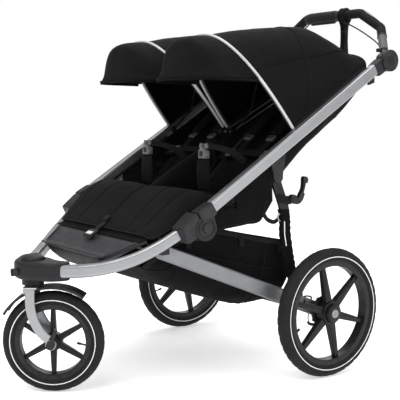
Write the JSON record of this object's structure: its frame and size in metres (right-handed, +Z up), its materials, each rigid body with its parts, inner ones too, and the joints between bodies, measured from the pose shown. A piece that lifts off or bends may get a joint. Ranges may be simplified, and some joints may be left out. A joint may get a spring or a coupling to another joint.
{
  "type": "jogging stroller",
  "caption": "Side-by-side double jogging stroller with three air-tyred wheels, swivelling front fork, folding frame, two canopies and a tilting handlebar.",
  "frame": {"origin": "on the floor, on the centre plane, straight below the rear axle", "axes": "+Z up; the stroller's front points along -Y; +X is the stroller's left side"},
  "size_m": [0.8188, 1.2457, 1.135],
  "materials": {
    "silver": "satin anodised",
    "dark_plastic": "fine grained",
    "grey_plastic": "fine grained",
    "black_metal": "satin black",
    "tyre": "rubber",
    "wheel_plastic": "satin",
    "fabric_black": "woven",
    "mesh_black": "open mesh",
    "webbing": "webbing",
    "foam": "foam",
    "steel": "brushed",
    "button_grey": "satin",
    "hub_silver": "satin"
  },
  "bodies": {
    "front_frame": {"front_tube_left": "silver", "front_tube_right": "silver", "nose_housing": "dark_plastic", "nose_cover": "dark_plastic", "swivel_bearings": "steel", "hinge_sleeves": "dark_plastic", "hinge_pins": "steel", "frame_cross_tube": "black_metal", "seat_base_tube": "black_metal", "footrest_panel": "grey_plastic", "footrest_tray": "dark_plastic", "calf_pad": "fabric_black", "seat_pads": "fabric_black", "seat_divider": "fabric_black", "crotch_straps": "fabric_black", "buckles": "button_grey"},
    "lock_knob": {"swivel_lock_knob": "button_grey"},
    "fork_body": {"fork": "silver", "mudguard": "dark_plastic"},
    "front_release": {"front_skewer": "steel"},
    "front_wheel_body": {"front_tyre": "tyre", "front_wheel": "wheel_plastic"},
    "upper_frame": {"upper_tube_left": "silver", "upper_tube_right": "silver", "hinge_discs": "dark_plastic", "back_cross_tube": "black_metal", "handle_knuckles": "dark_plastic", "pivot_brackets": "dark_plastic", "side_panels": "mesh_black", "canopy_left": "fabric_black", "canopy_right": "fabric_black"},
    "seat_left": {"seat_back_left": "fabric_black", "harness_left": "webbing"},
    "seat_right": {"seat_back_right": "fabric_black", "harness_right": "webbing"},
    "canopy_front_left": {"front_bow_left": "steel", "visor_left": "fabric_black"},
    "canopy_front_right": {"front_bow_right": "steel", "visor_right": "fabric_black"},
    "canopy_rear_left": {"rear_bow_left": "steel"},
    "canopy_rear_right": {"rear_bow_right": "steel"},
    "handle_body": {"handlebar": "black_metal", "handle_foam": "foam", "handle_sleeves": "grey_plastic", "wrist_strap": "webbing"},
    "brake_grip": {"twist_brake": "dark_plastic"},
    "tilt_button_l": {"tilt_button_left": "button_grey"},
    "tilt_button_r": {"tilt_button_right": "button_grey"},
    "strut_body": {"rear_struts": "black_metal"},
    "hook_body": {"transport_hook": "dark_plastic"},
    "rear_frame": {"lower_tubes": "silver", "rear_axle": "black_metal", "basket": "fabric_black"},
    "pedal_body": {"brake_pedal": "dark_plastic"},
    "rear_wheel_l": {"rear_tyre_left": "tyre", "rear_wheel_left": "wheel_plastic"},
    "rear_wheel_r": {"rear_tyre_right": "tyre", "rear_wheel_right": "wheel_plastic"},
    "hub_button_l": {"hub_button_left": "hub_silver"},
    "hub_button_r": {"hub_button_right": "hub_silver"}
  },
  "joints": [
    {"name": "fold", "type": "hinge", "parent": "front_frame", "child": "upper_frame", "pos_m": [0, -0.43, 0.477], "axis": [-1, 0, 0], "range_deg": [0, 115], "deforming": ["basket", "side_panels"]},
    {"name": "rear_fold", "type": "hinge", "parent": "front_frame", "child": "rear_frame", "pos_m": [0, -0.52, 0.412], "axis": [-1, 0, 0], "range_deg": [0, 101.3]},
    {"name": "strut_swing", "type": "hinge", "parent": "upper_frame", "child": "strut_body", "pos_m": [0, -0.151, 0.602], "axis": [1, 0, 0], "range_deg": [0, 39.8]},
    {"name": "fork_swivel", "type": "hinge", "parent": "front_frame", "child": "fork_body", "pos_m": [0, -0.7797, 0.3], "axis": [0, 0, 1], "continuous": true},
    {"name": "front_wheel_spin", "type": "hinge", "parent": "fork_body", "child": "front_wheel_body", "pos_m": [0.03333, -0.73495, 0.1451], "axis": [0.802, -0.5973, 0], "continuous": true},
    {"name": "front_skewer_turn", "type": "hinge", "parent": "fork_body", "child": "front_release", "pos_m": [0.03333, -0.73495, 0.1451], "axis": [0.802, -0.5973, 0], "range_deg": [0, 120]},
    {"name": "swivel_lock", "type": "hinge", "parent": "front_frame", "child": "lock_knob", "pos_m": [0, -0.8358, 0.348], "axis": [0, 1, 0], "range_deg": [0, 90]},
    {"name": "rear_wheel_spin_left", "type": "hinge", "parent": "rear_frame", "child": "rear_wheel_l", "pos_m": [0.3799, 0, 0.194], "axis": [1, 0, 0], "continuous": true},
    {"name": "rear_wheel_spin_right", "type": "hinge", "parent": "rear_frame", "child": "rear_wheel_r", "pos_m": [-0.3799, 0, 0.194], "axis": [1, 0, 0], "continuous": true},
    {"name": "hub_release_left", "type": "slide", "parent": "rear_wheel_l", "child": "hub_button_l", "axis": [-1, 0, 0], "range_m": [0, 0.004], "stiffness_N_per_m": 400},
    {"name": "hub_release_right", "type": "slide", "parent": "rear_wheel_r", "child": "hub_button_r", "axis": [1, 0, 0], "range_m": [0, 0.004], "stiffness_N_per_m": 400},
    {"name": "recline_left", "type": "hinge", "parent": "upper_frame", "child": "seat_left", "pos_m": [0, -0.178, 0.548], "axis": [-1, 0, 0], "range_deg": [0, 25]},
    {"name": "recline_right", "type": "hinge", "parent": "upper_frame", "child": "seat_right", "pos_m": [0, -0.178, 0.548], "axis": [-1, 0, 0], "range_deg": [0, 25]},
    {"name": "canopy_left_fold", "type": "hinge", "parent": "upper_frame", "child": "canopy_front_left", "pos_m": [0, -0.092, 0.726], "axis": [-1, 0, 0], "range_deg": [-8, 80], "deforming": ["canopy_left", "visor_left"]},
    {"name": "canopy_right_fold", "type": "hinge", "parent": "upper_frame", "child": "canopy_front_right", "pos_m": [0, -0.092, 0.726], "axis": [-1, 0, 0], "range_deg": [-8, 80], "deforming": ["canopy_right", "visor_right"]},
    {"name": "canopy_left_rear_bow", "type": "hinge", "parent": "upper_frame", "child": "canopy_rear_left", "pos_m": [0, -0.092, 0.726], "axis": [-1, 0, 0], "range_deg": [-4, 27]},
    {"name": "canopy_right_rear_bow", "type": "hinge", "parent": "upper_frame", "child": "canopy_rear_right", "pos_m": [0, -0.092, 0.726], "axis": [-1, 0, 0], "range_deg": [-4, 27]},
    {"name": "handle_tilt", "type": "hinge", "parent": "upper_frame", "child": "handle_body", "pos_m": [0, 0.27, 0.948], "axis": [-1, 0, 0], "range_deg": [-35, 75]},
    {"name": "twist_brake_turn", "type": "hinge", "parent": "handle_body", "child": "brake_grip", "pos_m": [0, 0.364, 1.116], "axis": [1, 0, 0], "range_deg": [0, 60]},
    {"name": "tilt_release_left", "type": "slide", "parent": "upper_frame", "child": "tilt_button_l", "axis": [-1, 0, 0], "range_m": [0, 0.002], "stiffness_N_per_m": 400},
    {"name": "tilt_release_right", "type": "slide", "parent": "upper_frame", "child": "tilt_button_r", "axis": [1, 0, 0], "range_m": [0, 0.002], "stiffness_N_per_m": 400},
    {"name": "transport_hook_turn", "type": "hinge", "parent": "strut_body", "child": "hook_body", "pos_m": [0, -0.094, 0.534], "axis": [-1, 0, 0], "range_deg": [0, 60]},
    {"name": "parking_brake", "type": "hinge", "parent": "rear_frame", "child": "pedal_body", "pos_m": [0, 0, 0.194], "axis": [-1, 0, 0], "range_deg": [0, 18]}
  ],
  "couplings": [
    {"joint": "rear_fold", "follows": "fold", "ratio": 0.88034},
    {"joint": "strut_swing", "follows": "fold", "ratio": 0.34551},
    {"joint": "canopy_left_rear_bow", "follows": "canopy_left_fold", "ratio": 0.33},
    {"joint": "canopy_right_rear_bow", "follows": "canopy_right_fold", "ratio": 0.33}
  ]
}
